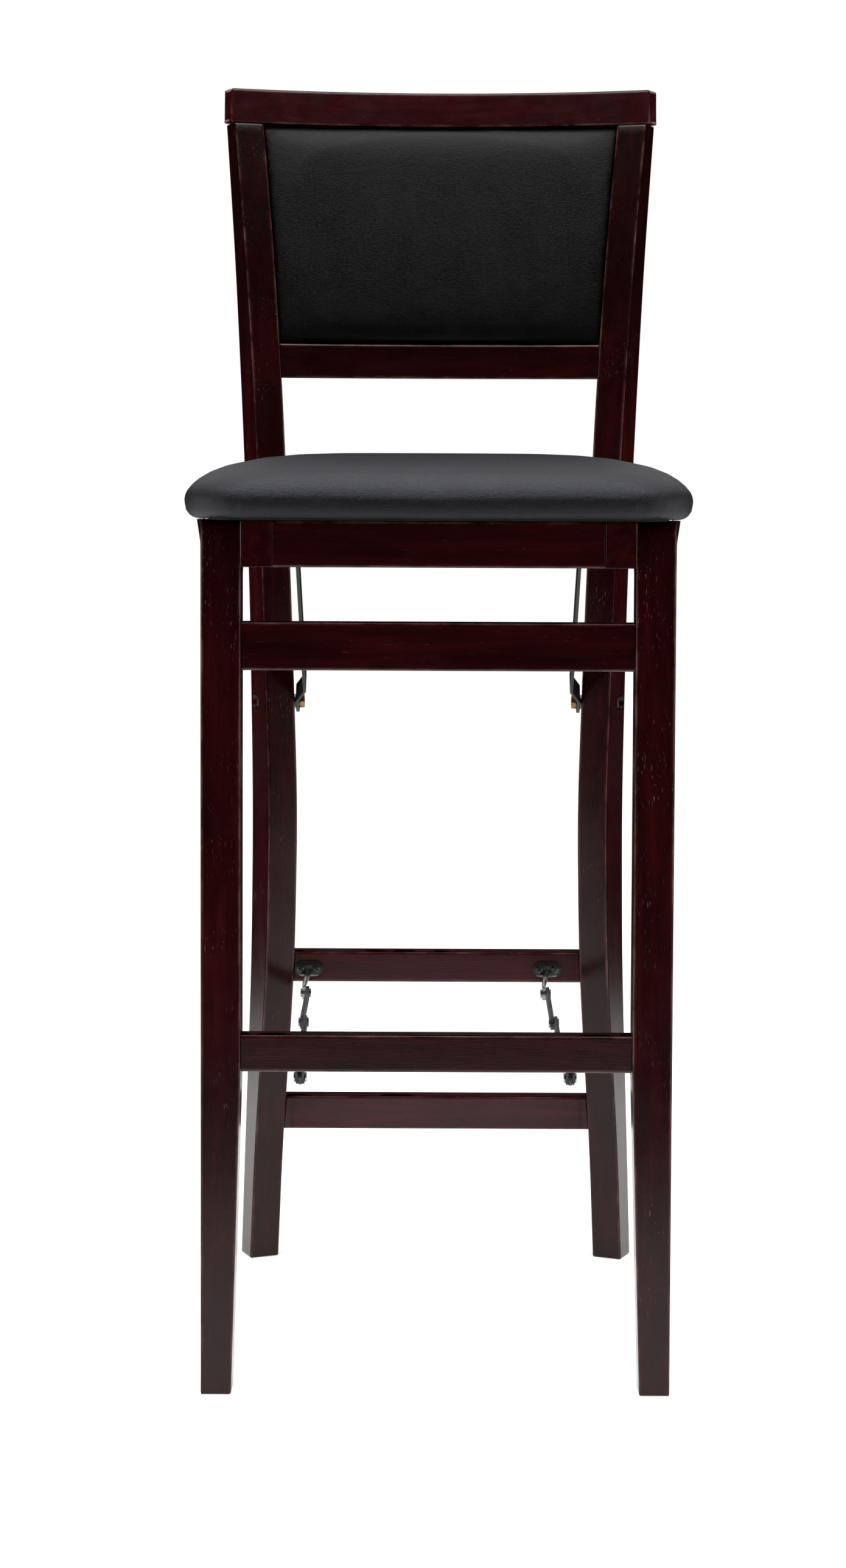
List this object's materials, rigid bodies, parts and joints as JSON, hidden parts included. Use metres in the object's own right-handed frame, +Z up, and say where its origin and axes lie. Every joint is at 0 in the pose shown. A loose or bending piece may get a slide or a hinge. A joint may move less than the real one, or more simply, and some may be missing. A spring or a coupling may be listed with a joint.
{
  "type": "folding bar stool",
  "caption": "Bar-height folding stool with a padded seat and curved padded back, hinged front legs, steel link bars and folding stays between the leg frames.",
  "frame": {"origin": "on the floor at the middle of the width and depth of the open stool", "axes": "+X to the right seen from the front, +Y to the back, +Z up"},
  "size_m": [0.432, 0.5494, 1.151],
  "materials": {
    "dark_wood": "semi-gloss dark lacquer",
    "leatherette": "fine grain, satin",
    "covered_board": "black cloth lining",
    "black_steel": "black satin",
    "bright_steel": "dull plated",
    "yellow_zinc": "yellow zinc plate"
  },
  "bodies": {
    "rear_frame": {"back_board": "covered_board", "back_cushion": "leatherette", "bracket_screw_left_1": "bright_steel", "bracket_screw_left_2": "bright_steel", "bracket_screw_right_1": "bright_steel", "bracket_screw_right_2": "bright_steel", "crest_rail": "dark_wood", "link_foot_bolt_left": "black_steel", "link_foot_bolt_right": "black_steel", "link_foot_nut_left": "yellow_zinc", "link_foot_nut_right": "yellow_zinc", "link_foot_spacer_left": "bright_steel", "link_foot_spacer_right": "bright_steel", "lower_back_rail": "dark_wood", "rear_lower_stretcher": "dark_wood", "rear_upper_stretcher": "dark_wood", "stay_bracket_left": "black_steel", "stay_bracket_right": "black_steel", "stay_pin_left": "bright_steel", "stay_pin_right": "bright_steel", "stile_left": "dark_wood", "stile_right": "dark_wood"},
    "link_left_bar": {"link_left": "black_steel"},
    "link_right_bar": {"link_right": "black_steel"},
    "seat": {"leg_pivot_bolt_left": "black_steel", "leg_pivot_bolt_right": "black_steel", "leg_pivot_nut_left": "yellow_zinc", "leg_pivot_nut_right": "yellow_zinc", "link_head_bolt_left": "black_steel", "link_head_bolt_right": "black_steel", "link_head_nut_left": "yellow_zinc", "link_head_nut_right": "yellow_zinc", "link_head_spacer_left": "bright_steel", "link_head_spacer_right": "bright_steel", "seat_board": "covered_board", "seat_cushion": "leatherette", "seat_front_rail": "dark_wood", "seat_rear_rail": "dark_wood", "seat_side_rail_left": "dark_wood", "seat_side_rail_right": "dark_wood"},
    "front_frame": {"footrest_bracket_left": "black_steel", "footrest_bracket_right": "black_steel", "footrest_pin_left": "bright_steel", "footrest_pin_right": "bright_steel", "footrest_rung": "dark_wood", "footrest_screw_left_1": "bright_steel", "footrest_screw_left_2": "bright_steel", "footrest_screw_right_1": "bright_steel", "footrest_screw_right_2": "bright_steel", "front_leg_left": "dark_wood", "front_leg_right": "dark_wood", "upper_front_rung": "dark_wood"},
    "rear_stay_bar_left": {"knee_rivet_left": "bright_steel", "rear_stay_left": "black_steel"},
    "rear_stay_bar_right": {"knee_rivet_right": "bright_steel", "rear_stay_right": "black_steel"},
    "front_stay_bar_left": {"front_stay_left": "black_steel"},
    "front_stay_bar_right": {"front_stay_right": "black_steel"}
  },
  "joints": [
    {"name": "seat_fold", "type": "hinge", "parent": "link_left_bar", "child": "seat", "pos_m": [0, -0.04774, 0.727], "axis": [1, 0, 0], "range_deg": [0, 125.8]},
    {"name": "link_left_fold", "type": "hinge", "parent": "rear_frame", "child": "link_left_bar", "pos_m": [0, 0.15226, 0.56], "axis": [-1, 0, 0], "range_deg": [0, 43.6]},
    {"name": "link_right_fold", "type": "hinge", "parent": "rear_frame", "child": "link_right_bar", "pos_m": [0, 0.15226, 0.56], "axis": [-1, 0, 0], "range_deg": [0, 43.6]},
    {"name": "front_legs_fold", "type": "hinge", "parent": "seat", "child": "front_frame", "pos_m": [0, -0.21777, 0.727], "axis": [-1, 0, 0], "range_deg": [0, 79.8]},
    {"name": "rear_stay_left_fold", "type": "hinge", "parent": "rear_frame", "child": "rear_stay_bar_left", "pos_m": [0, 0.12026, 0.278], "axis": [-1, 0, 0], "range_deg": [0, 81.5]},
    {"name": "front_stay_left_fold", "type": "hinge", "parent": "front_frame", "child": "front_stay_bar_left", "pos_m": [0, -0.22476, 0.267], "axis": [1, 0, 0], "range_deg": [0, 90.7]},
    {"name": "rear_stay_right_fold", "type": "hinge", "parent": "rear_frame", "child": "rear_stay_bar_right", "pos_m": [0, 0.12026, 0.278], "axis": [-1, 0, 0], "range_deg": [0, 81.5]},
    {"name": "front_stay_right_fold", "type": "hinge", "parent": "front_frame", "child": "front_stay_bar_right", "pos_m": [0, -0.22476, 0.267], "axis": [1, 0, 0], "range_deg": [0, 90.7]}
  ],
  "couplings": [
    {"joint": "link_left_fold", "follows": "seat_fold", "ratio": 0.3442},
    {"joint": "link_right_fold", "follows": "seat_fold", "ratio": 0.3442},
    {"joint": "front_legs_fold", "follows": "seat_fold", "ratio": 0.63196},
    {"joint": "rear_stay_left_fold", "follows": "seat_fold", "ratio": 0.64547},
    {"joint": "front_stay_left_fold", "follows": "seat_fold", "ratio": 0.7186},
    {"joint": "rear_stay_right_fold", "follows": "seat_fold", "ratio": 0.64547},
    {"joint": "front_stay_right_fold", "follows": "seat_fold", "ratio": 0.7186}
  ]
}
